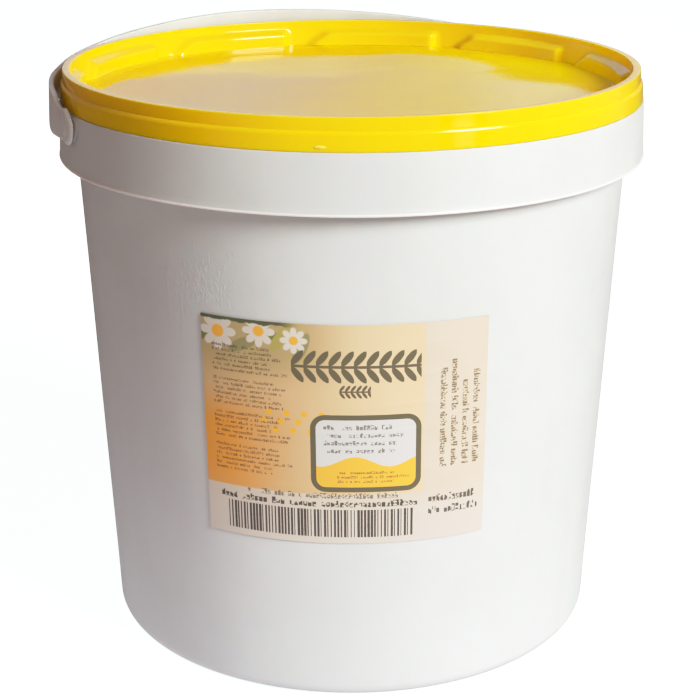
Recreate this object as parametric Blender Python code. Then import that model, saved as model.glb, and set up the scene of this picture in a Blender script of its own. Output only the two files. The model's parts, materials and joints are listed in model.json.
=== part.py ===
"""Lidded plastic food pail with a folding bail and a wrapped paper label.

The origin is the centre of the base, on the floor. +Z is up and -Y is the front,
where the label is. The bail is drawn folded back, lying just above the lid's rim.
"""
import math

import bmesh
import bpy
from mathutils import Euler, Matrix, Vector

# Driving dimensions, in metres
OVERALL_HEIGHT = 0.2978
RIM_RADIUS = 0.1475
BASE_RADIUS = 0.1295
BODY_TOP_RADIUS = 0.1420
BASE_FILLET = 0.0081
COLLAR_FOOT_HEIGHT = 0.2536
COLLAR_FOOT_RADIUS = 0.1512
COLLAR_TOP_RADIUS = 0.1494
COLLAR_HEIGHT = 0.0285
COLLAR_EDGE_ROUND = 0.0012
LIP_THICKNESS = 0.0026
LIP_GROOVE = 0.0035
JOINT_GAP = 0.0003

# Lid
SKIRT_RADIUS = 0.1493
SKIRT_TOP_RADIUS = 0.14895
BEAD_RADIUS = 0.1479
SKIRT_STEP_DROP = 0.0046
CREST_WIDTH = 0.0030
RIM_EDGE_ROUND = 0.0012
EDGE_ROUND = 0.0006
RECESS_DEPTH = 0.0135
WALL_TOP_RADIUS = 0.1442
WALL_FOOT_RADIUS = 0.1416
PAD_COUNT = 10
PAD_DROP = 0.0060
PAD_REACH = 0.0046
PAD_TOP_DEG = 24.0
PAD_FOOT_DEG = 30.0
PAD_OFFSET_DEG = 5.8

# Bail and its pivots
PIVOT_HEIGHT = 0.2779
BAIL_TURN_DEG = 25.0
BAIL_TILT_DEG = 8.7
BAIL_HALF_SPAN = 0.1538
BAIL_DEPTH = 0.1518
STRAP_THICKNESS = 0.0026
STRAP_WIDTH = 0.0072
STRAP_CHAMFER = 0.0006
STRAP_END_FROM_HINGE = 0.0034
LUG_RADIUS = 0.0103
LUG_THICKNESS = 0.0034
NECK_LENGTH = 0.060
NECK_WIDTH = 0.0176
STUD_RADIUS = 0.0030
STUD_TIP_RADIUS_FROM_AXIS = 0.1470
STUD_CAP_RADIUS = 0.0052
STUD_CAP_HEIGHT = 0.0010
SOCKET_CLEARANCE = 0.0003
SOCKET_FLOOR_FROM_AXIS = 0.1462
BOSS_RADIUS = 0.0118
BOSS_FACE_FROM_AXIS = 0.1515

# Label
LABEL_LOW = 0.0876
LABEL_HIGH = 0.2000
LABEL_LEFT_DEG = -31.0
LABEL_RIGHT_DEG = 29.0
LABEL_THICKNESS = 0.0003

# Facets
BODY_SEGMENTS = 120
LID_SEGMENTS = 120
STRAP_STEPS = 64
LABEL_STEPS = 24
ROUND_SEGMENTS = 32
FILLET_STEPS = 5
LIP_STEPS = 6
EDGE_STEPS = 3
CREST_STEPS = 2
SMOOTH_LIMIT = math.radians(35)
ANGLE_SLACK = 0.01

MATERIALS = {
    "pail": ((0.83, 0.82, 0.81, 1.0), 0.42),
    "lid": ((0.90, 0.72, 0.01, 1.0), 0.22),
    "handle": ((0.80, 0.79, 0.77, 1.0), 0.38),
    "label": ((0.87, 0.72, 0.50, 1.0), 0.50),
}


def clear_scene():
    """Empties the scene, whichever file it runs in."""
    for thing in list(bpy.data.objects):
        bpy.data.objects.remove(thing, do_unlink=True)


def make_material(name):
    """Makes the plain material of one sub-part."""
    colour, roughness = MATERIALS[name]
    material = bpy.data.materials.new(name)
    material.use_nodes = True
    shader = material.node_tree.nodes["Principled BSDF"]
    shader.inputs["Base Color"].default_value = colour
    shader.inputs["Roughness"].default_value = roughness
    shader.inputs["Metallic"].default_value = 0.0
    return material


def add_object(name, mesh_builder, material=None):
    """Turns a bmesh into an object with its faces out and its round sides smooth."""
    bmesh.ops.recalc_face_normals(mesh_builder, faces=mesh_builder.faces)
    mesh = bpy.data.meshes.new(name)
    mesh_builder.to_mesh(mesh)
    mesh_builder.free()
    mesh.shade_smooth()
    mesh.set_sharp_from_angle(angle=SMOOTH_LIMIT)
    thing = bpy.data.objects.new(name, mesh)
    bpy.context.scene.collection.objects.link(thing)
    if material:
        mesh.materials.append(material)
    return thing


def turned(rows, segments, start_deg=0.0):
    """Turns rows about Z into a solid with a flat face on its first and last row.

    A row is a radius and a height. The radius may be a function of the azimuth in
    degrees, counted from the back towards the right.
    """
    build = bmesh.new()
    rings = []
    for radius, height in rows:
        ring = []
        for index in range(segments):
            azimuth = start_deg + index * 360.0 / segments
            reach = radius(azimuth) if callable(radius) else radius
            angle = math.radians(azimuth)
            ring.append(build.verts.new((reach * math.sin(angle), reach * math.cos(angle), height)))
        rings.append(ring)
    for lower, upper in zip(rings, rings[1:]):
        for index in range(segments):
            following = (index + 1) % segments
            build.faces.new((lower[index], lower[following], upper[following], upper[index]))
    build.faces.new(rings[0])
    build.faces.new(rings[-1])
    return build


def arc(centre_radius, centre_height, size, first_deg, last_deg, steps):
    """Rows along a round edge, with 0 degrees outwards and 90 degrees up."""
    rows = []
    for index in range(steps + 1):
        angle = math.radians(first_deg + (last_deg - first_deg) * index / steps)
        rows.append((centre_radius + size * math.cos(angle), centre_height + size * math.sin(angle)))
    return rows


def body_radius(height):
    """Radius of the tapered wall at a height."""
    share = height / COLLAR_FOOT_HEIGHT
    return BASE_RADIUS + (BODY_TOP_RADIUS - BASE_RADIUS) * share


def pivot_axis():
    """Direction of the bail's hinge, from its left pivot to its right one."""
    turn = math.radians(BAIL_TURN_DEG)
    return Vector((math.cos(turn), math.sin(turn), 0.0))


def axial_cylinder(name, radius, near, far, side, ceiling=None):
    """A guide cylinder along the hinge axis, between two distances from the pail's axis.

    A ceiling trims it flat at that height.
    """
    axis = pivot_axis() * side
    centre = axis * (near + far) / 2 + Vector((0.0, 0.0, PIVOT_HEIGHT))
    build = bmesh.new()
    bmesh.ops.create_cone(
        build,
        cap_ends=True,
        segments=ROUND_SEGMENTS,
        radius1=radius,
        radius2=radius,
        depth=far - near,
        matrix=Matrix.Translation(centre) @ axis.to_track_quat("Z", "Y").to_matrix().to_4x4(),
    )
    if ceiling is not None:
        everything = build.verts[:] + build.edges[:] + build.faces[:]
        cut = bmesh.ops.bisect_plane(
            build,
            geom=everything,
            plane_co=(0.0, 0.0, ceiling),
            plane_no=(0.0, 0.0, 1.0),
            clear_outer=True,
        )
        rim = [item for item in cut["geom_cut"] if isinstance(item, bmesh.types.BMEdge)]
        bmesh.ops.contextual_create(build, geom=rim)
    cylinder = add_object(name, build)
    cylinder.hide_render = True
    cylinder.display_type = "WIRE"
    return cylinder


def add_boolean(target, operand, operation):
    """Joins a guide solid to the target or cuts it away."""
    modifier = target.modifiers.new(operand.name, "BOOLEAN")
    modifier.operation = operation
    modifier.solver = "EXACT"
    modifier.object = operand


def make_pail():
    """The tapered pail with its collar, closed under the lid, and the two pivot bosses."""
    lip_inner = COLLAR_FOOT_RADIUS - LIP_THICKNESS
    lip_round = LIP_THICKNESS / 2
    groove_top = COLLAR_FOOT_HEIGHT + LIP_GROOVE
    collar_top = COLLAR_FOOT_HEIGHT + COLLAR_HEIGHT
    wall_angle = -math.degrees(math.atan2(BODY_TOP_RADIUS - BASE_RADIUS, COLLAR_FOOT_HEIGHT))
    fillet_centre = body_radius(BASE_FILLET) - BASE_FILLET
    rows = arc(fillet_centre, BASE_FILLET, BASE_FILLET, -90.0, wall_angle, FILLET_STEPS)
    rows.append((body_radius(groove_top), groove_top))
    rows.append((lip_inner, groove_top))
    lip_centre = (lip_inner + lip_round, COLLAR_FOOT_HEIGHT + lip_round)
    rows += arc(*lip_centre, lip_round, 180.0, 360.0, LIP_STEPS)
    edge_centre = (COLLAR_TOP_RADIUS - COLLAR_EDGE_ROUND, collar_top - COLLAR_EDGE_ROUND)
    rows += arc(*edge_centre, COLLAR_EDGE_ROUND, 0.0, 90.0, EDGE_STEPS)
    pail = add_object("pail", turned(rows, BODY_SEGMENTS), make_material("pail"))
    boss_root = SOCKET_FLOOR_FROM_AXIS - SOCKET_CLEARANCE
    boss_top = collar_top - 2 * COLLAR_EDGE_ROUND
    for side, word in ((1, "right"), (-1, "left")):
        boss = axial_cylinder(
            f"boss_{word}", BOSS_RADIUS, boss_root, BOSS_FACE_FROM_AXIS, side, boss_top
        )
        bore = STUD_RADIUS + SOCKET_CLEARANCE
        mouth = BOSS_FACE_FROM_AXIS + STUD_RADIUS
        socket = axial_cylinder(f"socket_{word}", bore, SOCKET_FLOOR_FROM_AXIS, mouth, side)
        add_boolean(pail, boss, "UNION")
        add_boolean(pail, socket, "DIFFERENCE")
    return pail


def pad_share(azimuth, width):
    """1 where the recess wall carries a pad, 0 in the narrow gaps between the pads."""
    pitch = 360.0 / PAD_COUNT
    offset = (azimuth - PAD_OFFSET_DEG + pitch / 2) % pitch - pitch / 2
    return 1.0 if abs(offset) <= width / 2 + ANGLE_SLACK else 0.0


def make_lid():
    """The snap lid: stepped skirt, thin crest and a recess with a ring of pads."""
    foot = COLLAR_FOOT_HEIGHT + COLLAR_HEIGHT + JOINT_GAP
    crest = OVERALL_HEIGHT
    step = crest - SKIRT_STEP_DROP
    panel = crest - RECESS_DEPTH
    pad_top = crest - PAD_DROP

    def pad_edge(azimuth):
        return WALL_TOP_RADIUS - PAD_REACH * pad_share(azimuth, PAD_TOP_DEG)

    def pad_foot(azimuth):
        return WALL_FOOT_RADIUS - PAD_REACH * pad_share(azimuth, PAD_FOOT_DEG)

    rim_centre = (RIM_RADIUS - RIM_EDGE_ROUND, crest - RIM_EDGE_ROUND)
    crest_centre = (RIM_RADIUS - CREST_WIDTH, crest - EDGE_ROUND)
    rows = [
        (SKIRT_RADIUS - EDGE_ROUND, foot),
        (SKIRT_RADIUS, foot + EDGE_ROUND),
        (SKIRT_TOP_RADIUS, step - EDGE_ROUND),
        (BEAD_RADIUS, step + EDGE_ROUND),
    ]
    rows += arc(*rim_centre, RIM_EDGE_ROUND, 0.0, 90.0, EDGE_STEPS)
    rows += arc(*crest_centre, EDGE_ROUND, 90.0, 180.0, CREST_STEPS)
    rows.append((WALL_TOP_RADIUS - EDGE_ROUND, pad_top))
    rows.append((pad_edge, pad_top - EDGE_ROUND))
    rows.append((pad_foot, panel))
    build = turned(rows, LID_SEGMENTS, PAD_OFFSET_DEG)
    return add_object("lid", build, make_material("lid"))


def strap_section(half_width):
    """Corners of the strap's section: outwards from the pail, and across the strap."""
    out = STRAP_THICKNESS / 2
    cut = STRAP_CHAMFER
    return [
        (out, half_width - cut),
        (out - cut, half_width),
        (cut - out, half_width),
        (-out, half_width - cut),
        (-out, cut - half_width),
        (cut - out, -half_width),
        (out - cut, -half_width),
        (out, cut - half_width),
    ]


def strap_half_width(reach):
    """The strap is widest where it leaves a lug and narrows within the neck."""
    share = min(max(1.0 - reach / NECK_LENGTH, 0.0), 1.0)
    share = share * share * (3.0 - 2.0 * share)
    return (STRAP_WIDTH + (NECK_WIDTH - STRAP_WIDTH) * share) / 2


def strap_solid():
    """The bent strap as one closed sweep, from inside the right lug to the left one."""
    build = bmesh.new()
    start = math.asin(STRAP_END_FROM_HINGE / BAIL_DEPTH)
    rings = []
    for index in range(STRAP_STEPS + 1):
        angle = start + (math.pi - 2 * start) * index / STRAP_STEPS
        centre = Vector((BAIL_HALF_SPAN * math.cos(angle), BAIL_DEPTH * math.sin(angle), 0.0))
        outward = Vector((BAIL_DEPTH * math.cos(angle), BAIL_HALF_SPAN * math.sin(angle), 0.0))
        outward.normalize()
        half_width = strap_half_width(centre.y)
        ring = []
        for out, across in strap_section(half_width):
            ring.append(build.verts.new(centre + outward * out + Vector((0.0, 0.0, across))))
        rings.append(ring)
    for near, far in zip(rings, rings[1:]):
        for index in range(len(near)):
            following = (index + 1) % len(near)
            build.faces.new((near[index], near[following], far[following], far[index]))
    build.faces.new(rings[0])
    build.faces.new(rings[-1])
    return build


def make_handle():
    """The bail: a strap with a round lug and a stud at each end, its origin on the hinge."""
    handle = add_object("handle", strap_solid(), make_material("handle"))
    handle.location = (0.0, 0.0, PIVOT_HEIGHT)
    tilt = math.radians(BAIL_TILT_DEG)
    handle.rotation_euler = Euler((tilt, 0.0, math.radians(BAIL_TURN_DEG)))
    lug_inner = BAIL_HALF_SPAN - LUG_THICKNESS / 2
    lug_outer = BAIL_HALF_SPAN + LUG_THICKNESS / 2
    root = BAIL_HALF_SPAN
    for side, word in ((1, "right"), (-1, "left")):
        lug = axial_cylinder(f"lug_{word}", LUG_RADIUS, lug_inner, lug_outer, side)
        stud = axial_cylinder(f"stud_{word}", STUD_RADIUS, STUD_TIP_RADIUS_FROM_AXIS, root, side)
        cap = axial_cylinder(f"cap_{word}", STUD_CAP_RADIUS, root, lug_outer + STUD_CAP_HEIGHT, side)
        for piece in (lug, stud, cap):
            add_boolean(handle, piece, "UNION")
    return handle


def make_label():
    """The label: a thin sheet wrapped on the tapered wall."""
    build = bmesh.new()
    layers = []
    for lift in (JOINT_GAP, JOINT_GAP + LABEL_THICKNESS):
        for height in (LABEL_LOW, LABEL_HIGH):
            row = []
            for index in range(LABEL_STEPS + 1):
                share = index / LABEL_STEPS
                angle = math.radians(LABEL_LEFT_DEG + (LABEL_RIGHT_DEG - LABEL_LEFT_DEG) * share)
                reach = body_radius(height) + lift
                place = (reach * math.sin(angle), -reach * math.cos(angle), height)
                row.append(build.verts.new(place))
            layers.append(row)
    inner_low, inner_high, outer_low, outer_high = layers
    around = (inner_low, inner_high, outer_high, outer_low, inner_low)
    for first, second in zip(around, around[1:]):
        for index in range(LABEL_STEPS):
            build.faces.new((first[index], first[index + 1], second[index + 1], second[index]))
    for end in (0, LABEL_STEPS):
        build.faces.new((inner_low[end], inner_high[end], outer_high[end], outer_low[end]))
    return add_object("label", build, make_material("label"))


clear_scene()
make_pail()
make_lid()
make_handle()
make_label()
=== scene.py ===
import json
import math
import random

import bmesh
import bpy
from mathutils import Euler, Matrix, Vector, noise


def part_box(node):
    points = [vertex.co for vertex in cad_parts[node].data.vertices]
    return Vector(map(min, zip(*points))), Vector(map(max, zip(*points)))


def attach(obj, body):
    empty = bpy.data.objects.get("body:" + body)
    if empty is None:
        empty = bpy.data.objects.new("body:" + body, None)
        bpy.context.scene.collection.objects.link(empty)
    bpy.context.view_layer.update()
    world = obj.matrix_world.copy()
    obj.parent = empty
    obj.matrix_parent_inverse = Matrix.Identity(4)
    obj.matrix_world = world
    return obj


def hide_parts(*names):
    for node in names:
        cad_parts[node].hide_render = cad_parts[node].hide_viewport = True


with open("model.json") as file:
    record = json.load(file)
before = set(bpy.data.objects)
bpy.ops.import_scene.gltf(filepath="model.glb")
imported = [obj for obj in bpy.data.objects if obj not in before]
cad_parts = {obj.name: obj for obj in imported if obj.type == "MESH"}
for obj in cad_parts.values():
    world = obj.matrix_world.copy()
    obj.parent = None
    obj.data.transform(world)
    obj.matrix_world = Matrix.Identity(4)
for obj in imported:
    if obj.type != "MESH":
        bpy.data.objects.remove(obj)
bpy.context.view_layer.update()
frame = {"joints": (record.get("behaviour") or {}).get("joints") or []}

# Sizes that the frame gives, in metres
PAIL_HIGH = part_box("pail")[1]
LID_LOW, LID_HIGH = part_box("lid")
LABEL_LOW, LABEL_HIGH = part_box("label")
HINGE = frame["joints"][0]
PIVOT = Vector(HINGE["pos_m"])
PIVOT_AXIS = Vector(HINGE["axis"]).normalized()
COLLAR_FOOT_RADIUS = PAIL_HIGH.x
COLLAR_TOP = PAIL_HIGH.z
SKIRT_RADIUS = LID_HIGH.x
SKIRT_FOOT = LID_LOW.z
CREST = LID_HIGH.z
LABEL_BOTTOM = LABEL_LOW.z
LABEL_TOP = LABEL_HIGH.z

# Pail
BASE_RADIUS = 0.1295
BASE_FILLET = 0.0081
BODY_TOP_RADIUS = 0.1420
COLLAR_FOOT_HEIGHT = 0.2536
COLLAR_TOP_RADIUS = 0.1498
LIP_THICKNESS = 0.0026
LIP_GROOVE = 0.0035
LIP_BEAD = 0.0007
# Heights from the collar's foot of the painted highlight: a paler band along the lip
LIP_PAINTED_HIGHLIGHT = (-0.0005, 0.00154)
LIP_INNER_ROUND = 0.0005
GROOVE_ROUND = 0.0010
COLLAR_EDGE_ROUND = 0.0002
COLLAR_LEDGE = 0.0003
LEDGE_GAP = 0.00005
WALL_SAG = 0.00030
WALL_SAG_FOOT = (0.010, 0.035)
WALL_SAG_TOP = (0.253, 0.235)
WALL_ROWS = 60
BODY_SEGMENTS = 360

# Lid
RIM_RADIUS = 0.1476
SKIRT_TOP_RADIUS = 0.14895
SKIRT_STEP_DROP = 0.0055
STEP_DEG = 56.0
STEP_ROUND = 0.0027
LID_EDGE = 0.0006
RIM_ROUND = 0.0004
CREST_ROUND = 0.0003
RECESS_DEPTH = 0.0135
WALL_TOP_RADIUS = 0.1442
WALL_FOOT_RADIUS = 0.1416
RECESS_ROWS = 26
LID_SEGMENTS = 540
PAD_COUNT = 10
PAD_DROP = 0.0060
PAD_REACH = 0.0042
PAD_RIGHT_DEG = 14.5
PAD_LEFT_TOP_DEG = 12.0
PAD_LEFT_FOOT_DEG = 15.5
PAD_OFFSET_DEG = 5.8
PAD_SOFT_DEG = 1.4
PAD_LEFT_SOFTER = 2.2
PAD_LEDGE = 0.0034
PANEL_WAVE = 0.00035
RIPPLE_SHARE = 0.12
PANEL_EDGE = 0.016
PANEL_RINGS = 44
PANEL_RISE = 0.0015

# Where the lid's panel rises: azimuths in radians from the back, and radii
RISE_RIGHT_END = (1.05, 0.55)
RISE_LEFT_END = (1.95, 1.35)
RISE_CROWN = 0.36
RISE_CROWN_REACH = 0.40
RISE_RADII = (0.060, 0.110)

# Where the painted shade on the thin panel fades: heights over the panel, and radii
PAINTED_SHADE_TOP = (0.0042, 0.0022)
PAINTED_SHADE_FOOT = (-0.0030, -0.0012)
PAINTED_SHADE_RADII = (0.1370, 0.1250)

# Bail
BAIL_TILT_DEG = 8.7
BAIL_HALF_SPAN = 0.1538
BAIL_DEPTH = 0.1518
STRAP_THICKNESS = 0.0026
STRAP_WIDTH = 0.0072
STRAP_ROUND = 0.00025
STRAP_HANG = 0.0066
STRAP_RISE = 0.0014
STRAP_SAG = 0.0015
STRAP_END_FROM_HINGE = 0.0034
NECK_LENGTH = 0.084
NECK_WIDTH = 0.0176
NECK_THICKNESS = 0.0018
NECK_ROUND = 0.0008
NECK_DROP = 0.0022
LUG_RADIUS = 0.0103
LUG_FLAT = 0.0024
LUG_THICKNESS = 0.0020
LUG_INSET = 0.0008
LUG_BEVEL = 0.0034
LUG_EDGE_ROUND = 0.0003
STUD_RADIUS = 0.0030
STUD_CAP_RADIUS = 0.0052
STUD_CAP_HEIGHT = 0.0007
STUD_CAP_BEVEL = 0.0028
SOCKET_RADIUS = 0.0033
BOSS_RADIUS = 0.0122
BOSS_BEVEL = 0.0060
BOSS_FACE = 0.1509
BOSS_ROOT = 0.1462
SOCKET_EDGE_ROUND = 0.0003
STRAP_STEPS = 160
ROUND_SEGMENTS = 64
SHARP_DEG = 38.0

# Where the strap changes: distances from the hinge line, and degrees round from its left end
LUG_BLEND = (0.022, 0.002)
HANG_START = (-0.004, 0.038)
HANG_END = (0.130, 0.095)
RISE_START = (0.010, 0.024)
RISE_END = (0.080, 0.050)
DROP_END = (0.020, 0.010)
SAG_START_DEG = (30.0, 52.0)
SAG_END_DEG = (90.0, 62.0)

# Label
LABEL_LEFT_DEG = -31.0
LABEL_LEFT_TOP_DEG = -30.5
LABEL_RIGHT_DEG = 28.4
LABEL_RIGHT_TOP_DEG = 27.3
LABEL_LIFT = 0.0003
LABEL_THICKNESS = 0.0003
LABEL_COLUMNS = 220
LABEL_ROWS = 150

# Dried drips, whose rise is a share of their width, and the nub at the foot of the lid's skirt
DRIP_RISE = 0.055
NUB_DEG = -5.4
NUB_LIFT = 0.0024
NUB_SIZE = (0.0032, 0.0010)
NUB_RISE = 0.0005
NUB_SINK = 0.0001

# Key light, with its azimuth counted from the front towards the right
KEY_AZIMUTH_DEG = 47.0
KEY_ELEVATION_DEG = 28.5
KEY_DISTANCE = 2.3

# Camera, fitted to the pail's outline in the photograph
CAMERA_LENS = 88.91
CAMERA_TILT_DEG = 71.0
CAMERA_PLACE = (-0.00078, -0.8915, 0.4470)


def smooth(value, low, high):
    """0 at low and 1 at high, eased at both ends. low may be the larger one."""
    share = min(max((value - low) / (high - low), 0.0), 1.0)
    return share * share * (3.0 - 2.0 * share)


def arc(centre_radius, centre_height, size, first_deg, last_deg, steps):
    """Rows along a round edge, with 0 degrees outwards and 90 degrees up."""
    rows = []
    for index in range(steps + 1):
        angle = math.radians(first_deg + (last_deg - first_deg) * index / steps)
        rows.append((centre_radius + size * math.cos(angle), centre_height + size * math.sin(angle)))
    return rows


def slope(start, end, steps, places):
    """Rows on a straight line cut into steps, at these places along it."""
    rows = []
    for place in places:
        share = place / steps
        rows.append(tuple(first * (1 - share) + last * share for first, last in zip(start, end)))
    return rows


def dome(radius, height, inwards, upwards):
    """Rows of a low round shoulder, from its foot inwards and up to its flat top."""
    steps = 7
    rows = []
    for index in range(1, steps + 1):
        angle = math.radians(90.0 * index / steps)
        rows.append((radius - inwards * (1.0 - math.cos(angle)), height + upwards * math.sin(angle)))
    return rows


def grid_faces(rows, columns, around, first=0):
    """Quads between the rows of a grid of points, closed around or open at its sides."""
    faces = []
    last = columns if around else columns - 1
    for row in range(rows - 1):
        for column in range(last):
            following = (column + 1) % columns
            low = first + row * columns
            high = low + columns
            faces.append((low + column, low + following, high + following, high + column))
    return faces


def add_object(name, data):
    """An object of this mesh, light or camera, in the scene."""
    thing = bpy.data.objects.new(name, data)
    bpy.context.scene.collection.objects.link(thing)
    return thing


def add_mesh(name, points, faces, sharp_deg=SHARP_DEG):
    """A smooth-shaded object of these points and faces, with its faces out."""
    mesh = bpy.data.meshes.new(name)
    mesh.from_pydata(points, [], faces)
    build = bmesh.new()
    build.from_mesh(mesh)
    bmesh.ops.recalc_face_normals(build, faces=build.faces)
    build.to_mesh(mesh)
    build.free()
    mesh.shade_smooth()
    mesh.set_sharp_from_angle(angle=math.radians(sharp_deg))
    return add_object(name, mesh)


def dress(thing, material, body, slot, *nodes):
    """Gives a piece its material and body, and hides the CAD nodes that it stands for. The slot is not used.
    """
    thing.data.materials.clear()
    thing.data.materials.append(material)
    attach(thing, body)
    if nodes:
        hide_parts(*nodes)


def turned(name, rows, segments, place):
    """A closed turned solid. A row is a radius and a height, from one pole to the other.

    place gives the point of a row at an azimuth, counted in degrees from the back
    towards the right.
    """
    points = []
    for radius, height in rows:
        points += [place(radius, height, 360.0 * index / segments) for index in range(segments)]
    faces = grid_faces(len(rows), segments, True)
    for ring in (0, len(rows) - 1):
        first = ring * segments
        pole = len(points)
        points.append((0.0, 0.0, rows[ring][1]))
        for index in range(segments):
            faces.append((first + index, first + (index + 1) % segments, pole))
    return add_mesh(name, points, faces)


def body_radius(height):
    """Radius of the tapered wall at a height."""
    return BASE_RADIUS + (BODY_TOP_RADIUS - BASE_RADIUS) * height / COLLAR_FOOT_HEIGHT


def wall_sag(azimuth, height):
    """How far the moulded wall lies inside its ideal cone, at an azimuth counted from the back."""
    angle = math.radians(azimuth)
    where = Vector((math.sin(angle) * 2.1, math.cos(angle) * 2.1, height * 13.0))
    fade = smooth(height, *WALL_SAG_FOOT) * smooth(height, *WALL_SAG_TOP)
    return WALL_SAG * fade * (0.5 + 0.5 * noise.noise(where))


def wall_radius(azimuth, height):
    """Radius of the moulded wall, at an azimuth counted from the front towards the right."""
    return body_radius(height) - wall_sag(180.0 - azimuth, height)


def make_pail(material):
    """The shut pail: base, tapered wall, open-bottomed collar and a closed top."""
    lip_inner = COLLAR_FOOT_RADIUS - LIP_THICKNESS
    groove_top = COLLAR_FOOT_HEIGHT + LIP_GROOVE
    corner = GROOVE_ROUND
    wall_deg = -math.degrees(math.atan2(BODY_TOP_RADIUS - BASE_RADIUS, COLLAR_FOOT_HEIGHT))
    fillet_centre = body_radius(BASE_FILLET) - BASE_FILLET
    rows = [(fillet_centre * share, 0.0) for share in (0.25, 0.5, 0.75)]
    rows += arc(fillet_centre, BASE_FILLET, BASE_FILLET, -90.0, wall_deg, 12)
    start = rows[-1][1]
    for index in range(1, WALL_ROWS):
        height = start + (groove_top - corner - start) * index / WALL_ROWS
        rows.append((body_radius(height), height))
    centre = (body_radius(groove_top) + corner, groove_top - corner)
    rows += arc(*centre, corner, 180.0, 90.0, 4)
    rows += arc(lip_inner - corner, groove_top - corner, corner, 90.0, 0.0, 4)
    lip_start = (lip_inner + LIP_INNER_ROUND, COLLAR_FOOT_HEIGHT + LIP_INNER_ROUND)
    rows += arc(*lip_start, LIP_INNER_ROUND, 180.0, 270.0, 4)
    bead = COLLAR_FOOT_HEIGHT + LIP_BEAD
    rows += arc(COLLAR_FOOT_RADIUS - LIP_BEAD, bead, LIP_BEAD, 280.0, 410.0, 12)
    ledge_top = COLLAR_TOP + COLLAR_LEDGE
    edge = (COLLAR_TOP_RADIUS - COLLAR_EDGE_ROUND, ledge_top - COLLAR_EDGE_ROUND)
    start = (rows[-1][0] - LIP_BEAD / 5, rows[-1][1] + LIP_BEAD / 2)
    rows += slope(start, (COLLAR_TOP_RADIUS, edge[1]), 10, range(10))
    rows += arc(*edge, COLLAR_EDGE_ROUND, 0.0, 90.0, 6)
    rows.append((SKIRT_RADIUS + LEDGE_GAP, ledge_top))
    rows.append((SKIRT_RADIUS + LEDGE_GAP, COLLAR_TOP))
    rows.append((COLLAR_TOP_RADIUS * 0.5, COLLAR_TOP))

    def place(radius, height, azimuth):
        """Point of a row, with the outer wall drawn in by its sag."""
        reach = radius
        if height < groove_top:
            inner = radius < body_radius(height) + LIP_GROOVE
            reach = radius - wall_sag(azimuth, height) * inner
        angle = math.radians(azimuth)
        return (reach * math.sin(angle), reach * math.cos(angle), height)

    pail = turned("pail_shell", rows, BODY_SEGMENTS, place)
    dress(pail, material, "pail", "pail", "pail")


def axial_frame(side):
    """Matrix that stands a turned piece on the hinge axis, its Z away from the pail's axis."""
    turn = (PIVOT_AXIS * side).to_track_quat("Z", "Y").to_matrix().to_4x4()
    return Matrix.Translation(PIVOT) @ turn


def make_bosses(material):
    """The two round bosses on the collar that carry the bail's studs."""
    edge = SOCKET_EDGE_ROUND
    ceiling = COLLAR_TOP - 2 * COLLAR_EDGE_ROUND
    rows = [(SOCKET_RADIUS, BOSS_ROOT), (BOSS_RADIUS, BOSS_ROOT)]
    rows += dome(BOSS_RADIUS, BOSS_ROOT, BOSS_BEVEL, BOSS_FACE - BOSS_ROOT)
    rows += arc(SOCKET_RADIUS + edge, BOSS_FACE - edge, edge, 90.0, 180.0, 3)
    points = []
    for radius, height in rows:
        for index in range(ROUND_SEGMENTS):
            angle = 2 * math.pi * index / ROUND_SEGMENTS
            points.append((radius * math.cos(angle), radius * math.sin(angle), height))
    faces = grid_faces(len(rows), ROUND_SEGMENTS, True)
    last = (len(rows) - 1) * ROUND_SEGMENTS
    for index in range(ROUND_SEGMENTS):
        following = (index + 1) % ROUND_SEGMENTS
        faces.append((last + index, last + following, following, index))
    for side, word in ((1, "right"), (-1, "left")):
        boss = add_mesh(f"boss_{word}", points, faces)
        boss.data.transform(axial_frame(side))
        build = bmesh.new()
        build.from_mesh(boss.data)
        everything = build.verts[:] + build.edges[:] + build.faces[:]
        cut = bmesh.ops.bisect_plane(
            build, geom=everything, plane_co=(0, 0, ceiling), plane_no=(0, 0, 1), clear_outer=True
        )
        rim = [item for item in cut["geom_cut"] if isinstance(item, bmesh.types.BMEdge)]
        bmesh.ops.holes_fill(build, edges=rim)
        bmesh.ops.recalc_face_normals(build, faces=build.faces)
        build.to_mesh(boss.data)
        build.free()
        dress(boss, material, "pail", "pail")


def pad_share(azimuth, left):
    """1 where the recess wall carries a pad, 0 in the gaps. left is the reach of its slanted end."""
    pitch = 360.0 / PAD_COUNT
    soft = PAD_SOFT_DEG / 2
    offset = (azimuth - PAD_OFFSET_DEG + pitch / 2) % pitch - pitch / 2
    if offset > 0.0:
        return smooth(offset, PAD_RIGHT_DEG + soft, PAD_RIGHT_DEG - soft)
    soft *= PAD_LEFT_SOFTER
    return smooth(-offset, left + soft, left - soft)


def panel_wave(x, y):
    """How far the lid's thin panel rises at the back and waves, which bends what it mirrors."""
    where = Vector((x * 17.0, y * 23.0, 4.3))
    fine = Vector((x * 55.0, y * 40.0, 9.1))
    azimuth = math.atan2(x, y)
    sector = smooth(azimuth, *RISE_RIGHT_END) * smooth(-azimuth, *RISE_LEFT_END)
    crown = 0.8 + 0.5 * smooth(abs(azimuth - RISE_CROWN), RISE_CROWN_REACH, 0.0)
    rise = PANEL_RISE * crown * smooth(math.hypot(x, y), *RISE_RADII) * sector
    return rise + PANEL_WAVE * (noise.noise(where) + RIPPLE_SHARE * noise.noise(fine))


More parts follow.
